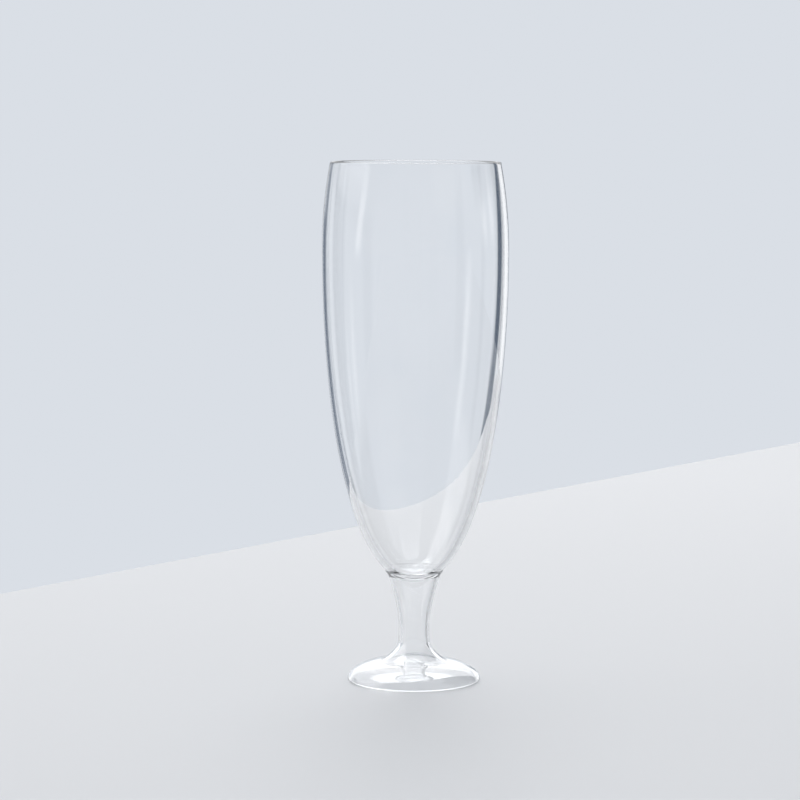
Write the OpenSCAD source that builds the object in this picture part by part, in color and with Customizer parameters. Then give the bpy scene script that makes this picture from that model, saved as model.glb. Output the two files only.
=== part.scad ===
// Footed pilsner glass of thin clear glass, drawn from tube and welded in the flame.
// A tall tulip bowl stands on a short hollow stem, and the stem on a hollow domed foot.
// The origin is on the table, in the middle of the foot, and +Z is up.

/* [Bowl] */
// Height of the bowl, from its lowest outside point to its rim
bowl_h = 161.5; // [140:0.5:200]
// Height of the widest place above the bowl's lowest point
belly_h = 126.5; // [100:0.5:140]
// Outside diameter at the widest place
belly_d = 71.8; // [60:0.2:90]
// Outside diameter at the rim
rim_d = 65.4; // [50:0.2:85]
// Thickness of the glass at the widest place
bowl_wall = 1.8; // [1:0.1:3]
// Thickness of the glass at the rim
rim_wall = 1.2; // [0.8:0.1:2.4]
// Thickness of the glass at the bowl's lowest point
base_wall = 2; // [1:0.1:5]
// Fullness of the bowl's lower half: 0.5 is a true ellipse and less is fuller
bowl_fullness_share = 0.435; // [0.38:0.005:0.55]
// How much slimmer the hollow's lower half is than the bowl's: more makes the sides heavier there
hollow_slim_share = 0.035; // [0:0.005:0.1]

/* [Stem] */
// Height of the stem between its two weld rings
stem_h = 26.1; // [15:0.1:80]
// Outside diameter at the top of the stem
stem_top_d = 20; // [16:0.2:28]
// Outside diameter at the waist
stem_waist_d = 11.8; // [8:0.1:18]
// Outside diameter at the bottom of the stem
stem_bottom_d = 12.4; // [10:0.1:20]
// Thickness of the stem's wall
stem_wall = 1.4; // [0.8:0.1:2.5]
// Place of the waist as a share of the stem's length, counted from its bottom
stem_waist_share = 0.19; // [0.1:0.01:0.6]

/* [Weld rings] */
// How far the upper ring stands out from the top of the stem
upper_ring_lip = 1.2; // [0.8:0.1:3]
// Radius of the upper ring's outer edge
upper_ring_edge = 0.25; // [0.2:0.05:0.6]
// Thickness of the upper ring between the stem's inner lip and the bowl
upper_ring_seam = 0.3; // [0.2:0.05:1]
// How far the lower ring flares out from the bottom of the stem
lower_ring_lip = 6.8; // [4:0.1:9]
// Height of the lower ring's outside, from its seam with the foot up to the stem
lower_ring_h = 6.9; // [4:0.1:12]
// Fullness of the lower ring's flare: 0.5 is a true ellipse and 1 is a straight cone
lower_ring_fullness_share = 0.7; // [0.5:0.05:1]

/* [Foot] */
// Outside diameter of the foot
foot_d = 51.2; // [44:0.2:70]
// Height of the foot's outside at its seam with the lower ring
foot_h = 7.6; // [6:0.1:14]
// Thickness of the foot's wall at its crown
foot_wall = 1.2; // [0.8:0.1:2.5]
// Radius of the foot's outer edge
foot_edge = 0.7; // [0.4:0.1:1.2]
// Width of the flat ring that the foot stands on
foot_rest = 0.5; // [0.3:0.1:1.5]

/* [Hidden] */
$fn = 96;

// Steps along a long curve, a short curve and a rounded edge
long_steps = 40;
short_steps = 16;
edge_steps = 8;

// Sweep of the upper ring's rounded edge, down from its top
upper_ring_sweep = 150;

// The bowl's radii, its hollow and its rounded rim
belly_r = belly_d / 2;
rim_r = rim_d / 2;
hollow_r = belly_r - bowl_wall;
hollow_fullness_share = bowl_fullness_share + hollow_slim_share;
rim_edge = rim_wall / 2;
rim_base_h = bowl_h - rim_edge;

// The stem's radii
stem_top_r = stem_top_d / 2;
stem_waist_r = stem_waist_d / 2;
stem_bottom_r = stem_bottom_d / 2;

// The stem stands on the lower ring, and the bowl lies one seam above the stem's inner lip
stem_bottom_z = foot_h + lower_ring_h;
stem_waist_z = stem_bottom_z + stem_h * stem_waist_share;
stem_top_z = stem_bottom_z + stem_h;
bowl_base_z = stem_top_z + upper_ring_seam - bowl_rise(stem_top_r - stem_wall);

// The rings' radii
upper_ring_r = stem_top_r + upper_ring_lip;
lower_ring_r = stem_bottom_r + lower_ring_lip;

// The foot's two domes, each a quarter ellipse from the edge to the axis
foot_r = foot_d / 2;
foot_dome_h = (foot_h - foot_edge) / sqrt(1 - pow(lower_ring_r / foot_r, 2));
foot_hollow_r = foot_r - foot_edge - foot_rest;
foot_hollow_h = foot_edge + foot_dome_h - foot_wall;
foot_seam_z = foot_hollow_h * sqrt(1 - pow(lower_ring_r / foot_hollow_r, 2));

// The upper ring touches the bowl from the stem's inner lip to its own outer edge
ring_contact_inner = bowl_angle(stem_top_r - stem_wall);
ring_contact_outer = bowl_angle(upper_ring_r - upper_ring_edge);

// Evenly spaced values from one limit to the other
function spread(from, to, steps) = [for (i = [0:steps]) from + (to - from) * i / steps];

// The same points in the other order
function reversed(points) = [for (i = [1:len(points)]) points[len(points) - i]];

// Points on a circle about a centre, from one angle to another
function arc(centre, radius, from, to) =
    [for (a = spread(from, to, edge_steps)) centre + radius * [cos(a), sin(a)]];

// Lower bowl: the height follows the sine of an angle, and the radius a power of its cosine
function lower_bowl(radius, depth, fullness_share, angles) =
    [for (a = angles) [radius * pow(cos(a), 2 * fullness_share), belly_h - depth * sin(a)]];
function bowl_outside(angles) = lower_bowl(belly_r, belly_h, bowl_fullness_share, angles);

// Upper bowl: a parabola that leaves the widest place upright and ends at the rim
function upper_bowl(radius, end_radius) =
    [for (v = spread(0, 1, short_steps))
        [radius + (end_radius - radius) * v * v, belly_h + (rim_base_h - belly_h) * v]];

// Angle on the outside of the lower bowl at which its radius is r, and the height there
function bowl_angle(r) = acos(pow(r / belly_r, 0.5 / bowl_fullness_share));
function bowl_rise(r) = belly_h * (1 - sin(bowl_angle(r)));

// Stem: the radius grows from the waist to each end as on a hyperboloid
function stem_radius(z) =
    let (end_r = z > stem_waist_z ? stem_top_r : stem_bottom_r)
    let (end_z = z > stem_waist_z ? stem_top_z : stem_bottom_z)
    sqrt(pow(stem_waist_r, 2)
        + (pow(end_r, 2) - pow(stem_waist_r, 2)) * pow((z - stem_waist_z) / (end_z - stem_waist_z), 2));

// Lower ring: a curve that leaves the stem upright and meets the foot almost level
function flare(top_radius, seam_z) =
    [for (a = spread(0, 90, short_steps))
        [lower_ring_r - (lower_ring_r - top_radius) * pow(cos(a), 2 * lower_ring_fullness_share),
         stem_bottom_z - (stem_bottom_z - seam_z) * pow(sin(a), 2 * lower_ring_fullness_share)]];

// Foot: a quarter ellipse from radius r_from to r_to, standing on height z
function dome(r_from, r_to, half_width, height, z) =
    [for (a = spread(acos(r_from / half_width), acos(r_to / half_width), short_steps))
        [half_width * cos(a), z + height * sin(a)]];

// The contact with the upper ring is a stretch of its own, so that both pieces share its points
function bowl_contact() = spread(ring_contact_inner, ring_contact_outer, edge_steps);

module clear_glass() {
    color([0.86, 0.9, 0.94, 0.4]) children();
}

// Tall tulip bowl with a round closed base and a fire-polished rim
module bowl() {
    outside = concat(
        bowl_outside(spread(90, ring_contact_inner, edge_steps)),
        bowl_outside(bowl_contact()),
        bowl_outside(spread(ring_contact_outer, 0, long_steps)),
        upper_bowl(belly_r, rim_r));
    rim = arc([rim_r - rim_edge, rim_base_h], rim_edge, 0, 180);
    inside = concat(
        lower_bowl(hollow_r, belly_h - base_wall, hollow_fullness_share, spread(90, 0, long_steps)),
        upper_bowl(hollow_r, rim_r - rim_wall));
    clear_glass()
        translate([0, 0, bowl_base_z])
            rotate_extrude() polygon(concat(outside, rim, reversed(inside)));
}

// Collar of melted glass where the flared stem is welded to the underside of the bowl
module upper_weld_ring() {
    edge_r = upper_ring_r - upper_ring_edge;
    edge_z = bowl_base_z + bowl_rise(edge_r) - upper_ring_edge;
    contact = [for (p = bowl_outside(bowl_contact())) p + [0, bowl_base_z]];
    edge = arc([edge_r, edge_z], upper_ring_edge, 90, 90 - upper_ring_sweep);
    seat = [[stem_top_r, stem_top_z], [stem_top_r - stem_wall, stem_top_z]];
    clear_glass() rotate_extrude() polygon(concat(contact, edge, seat));
}

// Short hollow stem, drawn to a waist and flared at both ends
module stem() {
    heights = concat(
        spread(stem_bottom_z, stem_waist_z, short_steps),
        spread(stem_waist_z, stem_top_z, long_steps));
    outside = [for (z = heights) [stem_radius(z), z]];
    inside = [for (p = outside) p - [stem_wall, 0]];
    clear_glass() rotate_extrude() polygon(concat(outside, reversed(inside)));
}

// Flared collar of melted glass where the stem is welded to the crown of the foot
module lower_weld_ring() {
    outside = flare(stem_bottom_r, foot_h);
    inside = flare(stem_bottom_r - stem_wall, foot_seam_z);
    clear_glass() rotate_extrude() polygon(concat(outside, reversed(inside)));
}

// Hollow domed foot, open below, that stands on a narrow flat ring
module foot() {
    crown = dome(lower_ring_r, foot_r, foot_r, foot_dome_h, foot_edge);
    edge = arc([foot_r - foot_edge, foot_edge], foot_edge, 0, -90);
    hollow = dome(foot_hollow_r, lower_ring_r, foot_hollow_r, foot_hollow_h, 0);
    clear_glass() rotate_extrude() polygon(concat(crown, edge, hollow));
}

bowl();
upper_weld_ring();
stem();
lower_weld_ring();
foot();
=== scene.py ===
# Clear pilsner glass: a blown bowl, a drawn stem and a domed foot, welded together in the flame.
import math

import bpy
import numpy as np
from mathutils import Matrix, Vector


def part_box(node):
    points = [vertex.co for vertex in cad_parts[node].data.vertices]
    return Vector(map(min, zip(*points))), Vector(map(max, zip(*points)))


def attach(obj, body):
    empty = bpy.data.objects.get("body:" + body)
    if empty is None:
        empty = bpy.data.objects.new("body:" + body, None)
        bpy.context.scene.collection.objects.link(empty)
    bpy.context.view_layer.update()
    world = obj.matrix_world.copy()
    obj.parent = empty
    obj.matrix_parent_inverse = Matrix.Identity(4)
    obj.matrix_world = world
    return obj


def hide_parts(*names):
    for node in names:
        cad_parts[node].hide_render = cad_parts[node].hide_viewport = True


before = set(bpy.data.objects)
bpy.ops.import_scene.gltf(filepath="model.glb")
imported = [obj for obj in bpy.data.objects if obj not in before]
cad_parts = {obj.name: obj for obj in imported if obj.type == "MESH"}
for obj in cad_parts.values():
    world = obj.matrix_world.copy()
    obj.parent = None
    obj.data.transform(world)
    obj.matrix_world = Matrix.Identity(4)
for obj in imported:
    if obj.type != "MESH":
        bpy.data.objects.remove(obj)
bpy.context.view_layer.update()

# Bowl. A tall tulip of thin clear glass, blown from drawn tube: closed and round at the bottom,
# heavier low down its sides, and melted smooth at the rim. Drawing left faint lines down its wall,
# and use has left the lightest film on it and a trace of wear at the rim.
bowl_low, bowl_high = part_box("bowl")
belly_radius = (bowl_high.x - bowl_low.x) / 2
belly_height = 0.1265
belly_level = bowl_low.z + belly_height
bowl_fullness = 0.435
bowl_wall = 0.0018
base_wall = 0.002
hollow_radius = belly_radius - bowl_wall
hollow_slimness = 0.035
rim_radius = 0.0327
rim_wall = 0.0012
rim_edge = rim_wall / 2
rim_level = bowl_high.z - rim_edge
upper_ring_low, upper_ring_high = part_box("upper_weld_ring")
upper_ring_radius = (upper_ring_high.x - upper_ring_low.x) / 2
upper_ring_edge = 0.00025
stem_low, stem_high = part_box("stem")
stem_top_radius = (stem_high.x - stem_low.x) / 2
stem_wall = 0.0014
bowl_turns = 240
long_steps = 120
short_steps = 40
edge_steps = 12
quarter_turn = math.pi / 2
crease_angle = math.radians(40)


def lower_bowl(angles, radius, depth, fullness):
    """Radius times a power of the angle's cosine, and a level below the belly by depth times its sine."""
    across = radius * np.abs(np.cos(angles)) ** (2 * fullness)
    across[np.isclose(angles, quarter_turn)] = 0
    return np.column_stack([across, belly_level - depth * np.sin(angles)])


def bowl_outside(start, end, steps):
    """Outside of the lower bowl between two of its angles, from 90 degrees at the base to 0 at the belly."""
    return lower_bowl(np.linspace(start, end, steps + 1), belly_radius, belly_height, bowl_fullness)


def bowl_angle(across):
    """Angle on the outside of the lower bowl at which its radius is the one given."""
    return math.acos((across / belly_radius) ** (0.5 / bowl_fullness))


def upper_bowl(radius, end_radius):
    """Parabola that leaves the belly upright: the radius changes with the square of the height's share."""
    shares = np.linspace(0, 1, short_steps + 1)
    across = radius + (end_radius - radius) * shares**2
    return np.column_stack([across, belly_level + (rim_level - belly_level) * shares])


def arc(centre, radius, start, end):
    """Points at even angles on a circle, from the start angle to the end angle."""
    angles = np.linspace(start, end, edge_steps + 1)
    return np.column_stack([centre[0] + radius * np.cos(angles), centre[1] + radius * np.sin(angles)])


def outline(*stretches):
    """One run of points from stretches that share their end points, and the stretch of each step."""
    points = [stretches[0]] + [stretch[1:] for stretch in stretches[1:]]
    owner = np.repeat(np.arange(len(stretches)), [len(stretch) - 1 for stretch in stretches])
    return np.concatenate(points), owner


def turned(name, run, fused, turns):
    """Outline of radius and level carried round the upright axis: the radius times the cosine and the
    sine of each turn. A point on the axis becomes one pole, an outline that ends where it starts
    closes on itself, and the stretches listed as fused get the second material."""
    points, owner = run
    turn = np.linspace(0, 2 * math.pi, turns, endpoint=False)
    across, level = points[:, 0, None], points[:, 1, None]
    grid = np.stack([across * np.cos(turn), across * np.sin(turn), level + 0 * turn], axis=2)
    index = np.arange(grid.shape[0] * turns).reshape(-1, turns)
    poles = points[:, 0] == 0
    index[poles] = index[poles][:, :1]
    if np.allclose(points[0], points[-1]):
        index[-1] = index[0]
    low, high = index[:-1], index[1:]
    quads = np.stack([low, np.roll(low, -1, 1), np.roll(high, -1, 1), high], axis=2)
    used, quads = np.unique(quads, return_inverse=True)
    quads = quads.reshape(-1, turns, 4)
    opening, closing = poles[:-1], poles[1:]
    whole = ~(opening | closing)
    parts = [
        (whole, quads[whole]),
        (opening, quads[opening][..., [0, 2, 3]]),
        (closing, quads[closing][..., [0, 1, 2]]),
    ]
    faces = [face for _, part in parts for face in part.reshape(-1, part.shape[-1]).tolist()]
    seam = np.concatenate([np.repeat(np.isin(owner[rows], fused), turns) for rows, _ in parts])
    mesh = bpy.data.meshes.new(name)
    mesh.from_pydata(grid.reshape(-1, 3)[used].tolist(), [], faces)
    mesh.polygons.foreach_set("material_index", seam.astype(np.int32))
    mesh.polygons.foreach_set("use_smooth", np.ones(len(faces), dtype=bool))
    mesh.set_sharp_from_angle(angle=crease_angle)
    piece = bpy.data.objects.new(name, mesh)
    bpy.context.collection.objects.link(piece)
    return piece


def add_node(tree, kind, values, **settings):
    """New node of a kind with its settings, whose sockets hold plain values or links from other sockets."""
    node = tree.nodes.new(kind)
    for name, value in settings.items():
        setattr(node, name, value)
    for socket, value in values.items():
        if isinstance(value, bpy.types.NodeSocket):
            tree.links.new(value, node.inputs[socket])
        else:
            node.inputs[socket].default_value = value
    return node


def worked_glass():
    """Marks of hot working and of use. Streaks are a noise laid out on the direction round the axis and
    on the distance from the foot's middle, so that they close round the piece. A second, broad noise
    is the film, which takes the glass from clear to a tint and from polished to a faint haze. The
    wear rises smoothly from one height to another and dulls the glass further."""
    group = bpy.data.node_groups.new("worked_glass", "ShaderNodeTree")
    for name in ("Round", "Along", "Film Scale", "Haze", "Worn From", "Worn To", "Wear"):
        group.interface.new_socket(name, in_out="INPUT", socket_type="NodeSocketFloat")
    for name in ("Clear", "Tint"):
        group.interface.new_socket(name, in_out="INPUT", socket_type="NodeSocketColor")
    group.interface.new_socket("Colour", in_out="OUTPUT", socket_type="NodeSocketColor")
    group.interface.new_socket("Roughness", in_out="OUTPUT", socket_type="NodeSocketFloat")
    group.interface.new_socket("Height", in_out="OUTPUT", socket_type="NodeSocketFloat")
    given = group.nodes.new("NodeGroupInput").outputs
    place = add_node(group, "ShaderNodeTexCoord", {}).outputs["Object"]
    level = add_node(group, "ShaderNodeVectorMath", {0: place, 1: (1, 1, 0)}, operation="MULTIPLY")
    heading = add_node(group, "ShaderNodeVectorMath", {0: level.outputs[0]}, operation="NORMALIZE")
    round_axis = add_node(
        group, "ShaderNodeVectorMath", {0: heading.outputs[0], "Scale": given["Round"]}, operation="SCALE"
    )
    reach = add_node(group, "ShaderNodeVectorMath", {0: place}, operation="LENGTH")
    run = add_node(
        group, "ShaderNodeMath", {0: reach.outputs["Value"], 1: given["Along"]}, operation="MULTIPLY"
    )
    upward = add_node(group, "ShaderNodeCombineXYZ", {"Z": run.outputs[0]})
    spot = add_node(
        group, "ShaderNodeVectorMath", {0: round_axis.outputs[0], 1: upward.outputs[0]}, operation="ADD"
    )
    streaks = add_node(
        group, "ShaderNodeTexNoise", {"Vector": spot.outputs[0], "Scale": 1, "Detail": 2, "Roughness": 0.4}
    )
    blotches = add_node(
        group, "ShaderNodeTexNoise", {"Vector": place, "Scale": given["Film Scale"], "Detail": 3}
    )
    film = add_node(
        group,
        "ShaderNodeMapRange",
        {"Value": blotches.outputs["Fac"], "From Min": 0.5, "From Max": 0.75},
        interpolation_type="SMOOTHSTEP",
    )
    colour = add_node(
        group, "ShaderNodeMixRGB", {0: film.outputs[0], 1: given["Clear"], 2: given["Tint"]}
    )
    height = add_node(group, "ShaderNodeSeparateXYZ", {0: place}).outputs["Z"]
    worn_limits = {"From Min": given["Worn From"], "From Max": given["Worn To"]}
    wear = add_node(
        group,
        "ShaderNodeMapRange",
        {"Value": height, **worn_limits, "To Max": given["Wear"]},
        interpolation_type="SMOOTHSTEP",
    )
    haze = add_node(
        group,
        "ShaderNodeMath",
        {0: film.outputs[0], 1: given["Haze"], 2: wear.outputs[0]},
        operation="MULTIPLY_ADD",
    )
    taken = group.nodes.new("NodeGroupOutput").inputs
    group.links.new(colour.outputs[0], taken["Colour"])
    group.links.new(haze.outputs[0], taken["Roughness"])
    group.links.new(streaks.outputs["Fac"], taken["Height"])
    return group


marks_of_work = worked_glass()
glass_ior = 1.47
clear_tone = (0.995, 0.998, 1.0, 1)
film_tone = (0.985, 0.991, 0.996, 1)
shade_tone = (0.95, 0.955, 0.96, 1)


def glass_material(name, marks, depth):
    """Clear glass with the marks of work on it, as deep as given. It lets lamps and the table's soft
    light pass straight through with a slight loss, so that its shadow stays faint."""
    material = bpy.data.materials.new(name)
    material.use_nodes = True
    tree = material.node_tree
    shader = tree.nodes["Principled BSDF"]
    shader.inputs["IOR"].default_value = glass_ior
    shader.inputs["Transmission Weight"].default_value = 1
    worked = add_node(
        tree,
        "ShaderNodeGroup",
        {"Clear": clear_tone, "Tint": film_tone, **marks},
        node_tree=marks_of_work,
    )
    relief = add_node(tree, "ShaderNodeBump", {"Distance": depth, "Height": worked.outputs["Height"]})
    tree.links.new(worked.outputs["Colour"], shader.inputs["Base Color"])
    tree.links.new(worked.outputs["Roughness"], shader.inputs["Roughness"])
    tree.links.new(relief.outputs[0], shader.inputs["Normal"])
    path = tree.nodes.new("ShaderNodeLightPath").outputs
    passing = add_node(
        tree, "ShaderNodeMath", {0: path["Is Shadow Ray"], 1: path["Is Diffuse Ray"]}, operation="MAXIMUM"
    )
    through = add_node(tree, "ShaderNodeBsdfTransparent", {"Color": shade_tone})
    either = add_node(
        tree, "ShaderNodeMixShader", {0: passing.outputs[0], 1: shader.outputs[0], 2: through.outputs[0]}
    )
    tree.links.new(either.outputs[0], tree.nodes["Material Output"].inputs["Surface"])
    return material


def fused_material(name):
    """Melted seam inside the glass, where two pieces are one: it shows no surface at all."""
    material = bpy.data.materials.new(name)
    material.use_nodes = True
    material.node_tree.nodes["Principled BSDF"].inputs["Alpha"].default_value = 0
    return material


fused_glass = fused_material("fused_glass")


def set_glass(piece, node, material):
    """Gives a piece its glass and its melted seams, and puts it in the place of its node."""
    piece.data.materials.append(material)
    piece.data.materials.append(fused_glass)
    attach(piece, "root")
    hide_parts(node)


weld_inner = bowl_angle(stem_top_radius - stem_wall)
weld_outer = bowl_angle(upper_ring_radius - upper_ring_edge)
upper_weld = bowl_outside(weld_inner, weld_outer, edge_steps)
bowl_run = outline(
    bowl_outside(quarter_turn, weld_inner, edge_steps),
    upper_weld,
    bowl_outside(weld_outer, 0, long_steps),
    upper_bowl(belly_radius, rim_radius),
    arc((rim_radius - rim_edge, rim_level), rim_edge, 0, math.pi),
    upper_bowl(hollow_radius, rim_radius - rim_wall)[::-1],
    lower_bowl(
        np.linspace(0, quarter_turn, long_steps + 1),
        hollow_radius,
        belly_height - base_wall,
        bowl_fullness + hollow_slimness,
    ),
)
bowl = turned("glass_bowl", bowl_run, [1], bowl_turns)
bowl_relief = 0.00001
bowl_marks = {"Round": 9, "Along": 6, "Film Scale": 45, "Haze": 0.012}
rim_wear = {"Worn From": rim_level - rim_edge / 2, "Worn To": rim_level + rim_edge / 3, "Wear": 0.12}
bowl_glass = glass_material("drawn_bowl_glass", {**bowl_marks, **rim_wear}, bowl_relief)
set_glass(bowl, "bowl", bowl_glass)

# Upper weld ring. The thin collar of melted glass that was squeezed out where the flared stem was
# pressed, hot, against the round base of the bowl. It hugs the bowl and ends in a rounded lip.
upper_ring_sweep = math.radians(150)
lip_centre = upper_weld[-1] - [0, upper_ring_edge]
lip = arc(lip_centre, upper_ring_edge, quarter_turn - upper_ring_sweep, quarter_turn)
stem_seat = np.array([[stem_top_radius - stem_wall, stem_high.z], [stem_top_radius, stem_high.z]])
upper_ring_run = outline(
    upper_weld[::-1],
    np.array([upper_weld[0], stem_seat[0]]),
    stem_seat,
    np.array([stem_seat[1], lip[0]]),
    lip,
)
upper_ring = turned("upper_weld_collar", upper_ring_run, [0, 2], bowl_turns)
weld_relief = 0.00001
weld_marks = {"Round": 3, "Along": 400, "Film Scale": 120, "Haze": 0.02}
weld_glass = glass_material("melted_weld_glass", weld_marks, weld_relief)
set_glass(upper_ring, "upper_weld_ring", weld_glass)

# Stem. A short hollow tube of clear glass, softened and pulled to a waist, so that it flares at both
# ends. Its bore opens into the hollow under the foot and is closed above by the bowl.
stem_waist_radius = 0.0059
stem_bottom_radius = 0.0062
stem_waist_share = 0.19
stem_waist_level = stem_low.z + (stem_high.z - stem_low.z) * stem_waist_share
stem_turns = 160


def stem_radius(level):
    """Hyperbola from the waist to each end: the squared radius grows with the squared distance."""
    upper = level > stem_waist_level
    end_radius = np.where(upper, stem_top_radius, stem_bottom_radius)
    end_level = np.where(upper, stem_high.z, stem_low.z)
    reach = (level - stem_waist_level) / (end_level - stem_waist_level)
    return np.sqrt(stem_waist_radius**2 + (end_radius**2 - stem_waist_radius**2) * reach**2)


def tube(outside, inside):
    """Closed outline of a tube, from its outside and inside, which both run up from its bottom."""
    top = np.array([outside[-1], inside[-1]])
    bottom = np.array([inside[0], outside[0]])
    return outline(outside, top, inside[::-1], bottom)


stem_levels = np.linspace(stem_low.z, stem_high.z, long_steps + 1)
stem_outside = np.column_stack([stem_radius(stem_levels), stem_levels])
stem_run = tube(stem_outside, stem_outside - [stem_wall, 0])
stem = turned("drawn_stem", stem_run, [1, 3], stem_turns)
stem_relief = 0.000004
stem_marks = {"Round": 4, "Along": 20, "Film Scale": 90, "Haze": 0.012}
stem_glass = glass_material("drawn_stem_glass", stem_marks, stem_relief)
set_glass(stem, "stem", stem_glass)

# Lower weld ring. The flared collar where the stem was opened out in the flame and welded to the
# crown of the foot. It is hollow, with a wall as thin as its neighbours'.
lower_ring_low, lower_ring_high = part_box("lower_weld_ring")
lower_ring_radius = (lower_ring_high.x - lower_ring_low.x) / 2
lower_ring_fullness = 0.7
foot_low, foot_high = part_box("foot")


def flare(top_radius, seam_level):
    """Curve that leaves the stem upright and meets the foot almost level: the radius falls short of the
    foot's seam by a power of the cosine, and the level of the stem by the same power of the sine."""
    angles = np.linspace(quarter_turn, 0, short_steps + 1)
    power = 2 * lower_ring_fullness
    across = lower_ring_radius - (lower_ring_radius - top_radius) * np.abs(np.cos(angles)) ** power
    across[0] = lower_ring_radius
    return np.column_stack([across, stem_low.z - (stem_low.z - seam_level) * np.sin(angles) ** power])


lower_ring_run = tube(
    flare(stem_bottom_radius, foot_high.z), flare(stem_bottom_radius - stem_wall, lower_ring_low.z)
)
lower_ring = turned("lower_weld_flare", lower_ring_run, [1, 3], stem_turns)
set_glass(lower_ring, "lower_weld_ring", weld_glass)

# Foot. A thin hollow dome, open below, spun from a bubble of the same glass. It stands on a narrow
# flat ring at its edge, which is scuffed by the tables that it has stood on.
foot_radius = (foot_high.x - foot_low.x) / 2
foot_wall = 0.0012
foot_edge = 0.0007
foot_rest = 0.0005
foot_dome = (foot_high.z - foot_edge) / math.sqrt(1 - (lower_ring_radius / foot_radius) ** 2)
foot_hollow_radius = foot_radius - foot_edge - foot_rest
foot_hollow_height = foot_edge + foot_dome - foot_wall
foot_turns = 200


def dome(half_width, height, level):
    """Ellipse from its widest place up to the seam with the flare, standing on the level given."""
    angles = np.linspace(0, math.acos(lower_ring_radius / half_width), short_steps + 1)
    return np.column_stack([half_width * np.cos(angles), level + height * np.sin(angles)])


foot_outside = dome(foot_radius, foot_dome, foot_edge)
foot_inside = dome(foot_hollow_radius, foot_hollow_height, 0)
foot_bend = arc((foot_radius - foot_edge, foot_edge), foot_edge, -quarter_turn, 0)
foot_run = outline(
    foot_outside,
    np.array([foot_outside[-1], foot_inside[-1]]),
    foot_inside[::-1],
    np.array([foot_inside[0], foot_bend[0]]),
    foot_bend,
)
foot = turned("domed_foot", foot_run, [1], foot_turns)
foot_relief = 0.000006
foot_marks = {"Round": 4, "Along": 120, "Film Scale": 70, "Haze": 0.015}
rest_wear = {"Worn From": 0.0003, "Worn To": 0.0001, "Wear": 0.3}
foot_glass = glass_material("spun_foot_glass", {**foot_marks, **rest_wear}, foot_relief)
set_glass(foot, "foot", foot_glass)

# Table. A plain white board with a satin lacquered top, whose far edge runs aslant behind the glass.
# Its colour holds painted light and shade: palest at the near end, a painted shade of grey round the glass,
# and painted light again, lighter, toward the far edge.
edge_left = np.array([-0.182, 0.200])
edge_right = np.array([0.270, 0.820])
edge_run = (edge_right - edge_left) / np.linalg.norm(edge_right - edge_left)
toward_room = np.array([edge_run[1], -edge_run[0]])
table_depth = 4.0
past_left = 3.0
past_right = 0.05
corner_left = edge_left - past_left * edge_run
corner_right = edge_right + past_right * edge_run
toward_camera = table_depth * toward_room
corners = [corner_left, corner_left + toward_camera, corner_right + toward_camera, corner_right]
table_mesh = bpy.data.meshes.new("table_top")
table_mesh.from_pydata([(float(x), float(y), 0.0) for x, y in corners], [], [[0, 1, 2, 3]])
table = bpy.data.objects.new("table_top", table_mesh)
bpy.context.collection.objects.link(table)
# Painted light and shade on the white board: a lit tone for the near end, a shaded grey round the glass, and
# a lit tone for the far edge.
lit_near_end_tone = (0.80, 0.805, 0.815, 1)
shaded_round_glass_tone = (0.525, 0.535, 0.55, 1)
lit_far_edge_tone = (0.63, 0.635, 0.645, 1)
table_material = bpy.data.materials.new("white_board")
table_material.use_nodes = True
table_tree = table_material.node_tree
table_shader = table_tree.nodes["Principled BSDF"]
table_shader.inputs["Roughness"].default_value = 0.4
table_shader.inputs["Specular IOR Level"].default_value = 0
table_shader.inputs["Coat Weight"].default_value = 1.0
table_shader.inputs["Coat IOR"].default_value = 2.0
table_shader.inputs["Coat Roughness"].default_value = 0.5
table_place = add_node(table_tree, "ShaderNodeTexCoord", {}).outputs["Object"]
table_axes = add_node(table_tree, "ShaderNodeSeparateXYZ", {0: table_place}).outputs
# Masks along the board's depth that lay the painted shade round the glass and the painted light toward the
# far edge.
near_side = {"Value": table_axes["Y"], "From Min": -0.8, "From Max": -0.2}
far_side = {"Value": table_axes["Y"], "From Min": -0.3, "From Max": 0.6}
front = add_node(table_tree, "ShaderNodeMapRange", near_side, interpolation_type="SMOOTHSTEP")
back = add_node(table_tree, "ShaderNodeMapRange", far_side)
painted_table_shading = add_node(table_tree, "ShaderNodeMixRGB", {0: front.outputs[0], 1: lit_near_end_tone, 2: shaded_round_glass_tone})
painted_table_shading = add_node(
    table_tree, "ShaderNodeMixRGB", {0: back.outputs[0], 1: painted_table_shading.outputs[0], 2: lit_far_edge_tone}
)
table_tree.links.new(painted_table_shading.outputs[0], table_shader.inputs["Base Color"])
table_mesh.materials.append(table_material)

# Studio. A pale even surround. A bright sheet, a softbox and a white ceiling stand above the
# backdrop, a window at the left, and dark flags at the sides draw the edges of the glass. The panels
# are seen in the glass and in the table's lacquer, and dull surfaces get the even light alone.
world = bpy.data.worlds.new("studio")
world.use_nodes = True
bpy.context.scene.world = world
studio = world.node_tree
pale = (0.70, 0.737, 0.791, 1)
even_light = (0.86, 0.875, 0.90, 1)
sheet = (1.42, 1.44, 1.48, 1)
softbox = (1.8, 1.8, 1.82, 1)
window = (2.2, 2.2, 2.25, 1)
ceiling = (5.4, 5.44, 5.5, 1)
lit = (1.12, 1.14, 1.17, 1)
bright = (0.92, 0.94, 0.97, 1)
dark = (0.07, 0.10, 0.15, 1)
shade = (0.12, 0.15, 0.20, 1)
dusk = (0.30, 0.33, 0.38, 1)
gloom = (0.05, 0.06, 0.08, 1)
strip = (1.7, 1.7, 1.7, 1)
streak = (2.1, 2.1, 2.1, 1)
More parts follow.
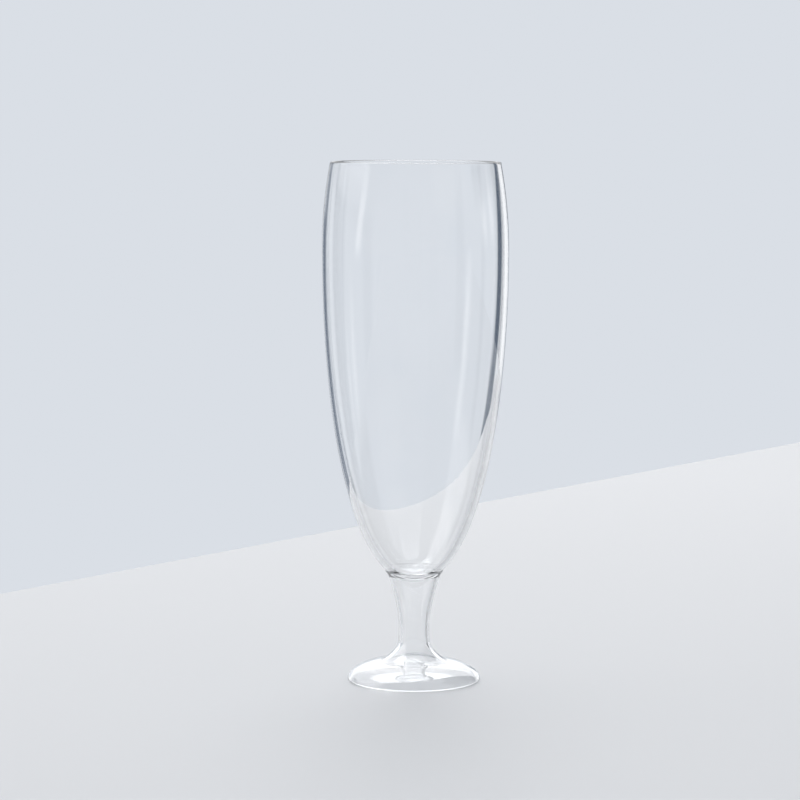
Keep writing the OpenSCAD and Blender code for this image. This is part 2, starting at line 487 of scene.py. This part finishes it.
panels = [
    dict(left=-115, right=70, low=7.2, high=48, tone=sheet, soft=5, fade=4),
    dict(left=-95, right=40, low=48, high=110, tone=ceiling, soft=20, fade=14),
    dict(left=-24, right=14, low=23, high=46, tone=softbox, soft=8, fade=8),
    dict(left=-110, right=-66, low=20, high=52, tone=window, soft=10, fade=10),
    dict(left=112, right=158, low=7, high=34, tone=bright, soft=16, fade=8),
    dict(left=36, right=60, low=-90, high=60, tone=gloom, soft=4, fade=8),
    dict(left=58, right=100, low=7, high=60, tone=gloom, soft=6, fade=4),
    dict(left=-60, right=-42, low=5, high=18, tone=dusk, soft=6, fade=4),
    dict(left=67, right=72, low=-0.5, high=5, tone=strip, soft=4, fade=5),
    dict(left=81, right=88, low=-0.5, high=5, tone=strip, soft=4, fade=5),
    dict(left=22, right=36, low=-90, high=9, tone=bright, soft=2, fade=3),
    dict(left=16, right=22.5, low=-90, high=6, tone=lit, soft=2, fade=2),
    dict(left=9.2, right=14.8, low=-90, high=8, tone=dark, soft=1.4, fade=2),
    dict(left=-33, right=-18, low=-90, high=0, tone=shade, soft=3, fade=1.4),
    dict(left=-109, right=-101.5, low=-2, high=10, tone=streak, soft=5, fade=4, lean=-0.6),
    dict(left=-124, right=-112, low=-90, high=4, tone=dusk, soft=6, fade=3),
    dict(left=-81, right=-74, low=-90, high=6, tone=shade, soft=2, fade=3),
]


def step(value, edge, soft, rising):
    """Smooth step at an edge, up or down, over a width."""
    limits = {"From Min": edge - soft / 2, "From Max": edge + soft / 2}
    ends = {"To Min": 1 - rising, "To Max": rising}
    node = add_node(
        studio, "ShaderNodeMapRange", {"Value": value, **limits, **ends}, interpolation_type="SMOOTHSTEP"
    )
    return node.outputs[0]


def combine(operation, *values):
    """One sum, product or other function of one or more values."""
    return add_node(studio, "ShaderNodeMath", dict(enumerate(values)), operation=operation).outputs[0]


direction = add_node(studio, "ShaderNodeTexCoord", {}).outputs["Generated"]
axes = add_node(studio, "ShaderNodeSeparateXYZ", {0: direction}).outputs
azimuth = combine("DEGREES", combine("ARCTAN2", axes["X"], axes["Y"]))
elevation = combine("DEGREES", combine("ARCSINE", axes["Z"]))
surround = pale
for panel in panels:
    across = combine("MULTIPLY_ADD", elevation, -panel.get("lean", 0), azimuth)
    sideways = combine(
        "MULTIPLY",
        step(across, panel["left"], panel["soft"], 1),
        step(across, panel["right"], panel["soft"], 0),
    )
    upright = combine(
        "MULTIPLY",
        step(elevation, panel["low"], panel["fade"], 1),
        step(elevation, panel["high"], panel["fade"], 0),
    )
    inside = combine("MULTIPLY", sideways, upright)
    surround = add_node(studio, "ShaderNodeMixRGB", {0: inside, 1: surround, 2: panel["tone"]}).outputs[0]
path = studio.nodes.new("ShaderNodeLightPath").outputs
seen = combine("MAXIMUM", path["Is Camera Ray"], path["Is Glossy Ray"])
seen = combine("MAXIMUM", seen, path["Is Transmission Ray"])
lighting = add_node(studio, "ShaderNodeMixRGB", {0: seen, 1: even_light, 2: surround})
studio.links.new(lighting.outputs[0], studio.nodes["Background"].inputs["Color"])

# Camera and picture. The camera stands about a metre away, a little above the rim, and looks slightly
# down. Light may cross the glass many times before it is dropped.
crossings = 32
cycles = bpy.context.scene.cycles
cycles.max_bounces = crossings
cycles.transmission_bounces = crossings
cycles.transparent_max_bounces = crossings
cycles.glossy_bounces = 16
bpy.context.scene.view_settings.view_transform = "Standard"
camera_data = bpy.data.cameras.new("camera")
camera_data.sensor_width = 36
camera_data.lens = 128.34
camera_data.clip_start = 0.01
camera = bpy.data.objects.new("camera", camera_data)
camera_place = (0, -1.090, 0.219)
camera_heading = math.radians(0.298)
camera_drop = math.radians(5.78)
camera_roll = math.radians(0.16)
camera_turn = (
    Matrix.Rotation(camera_heading, 4, "Z")
    @ Matrix.Rotation(quarter_turn - camera_drop, 4, "X")
    @ Matrix.Rotation(camera_roll, 4, "Z")
)
camera.matrix_world = Matrix.Translation(camera_place) @ camera_turn
bpy.context.collection.objects.link(camera)
bpy.context.scene.camera = camera
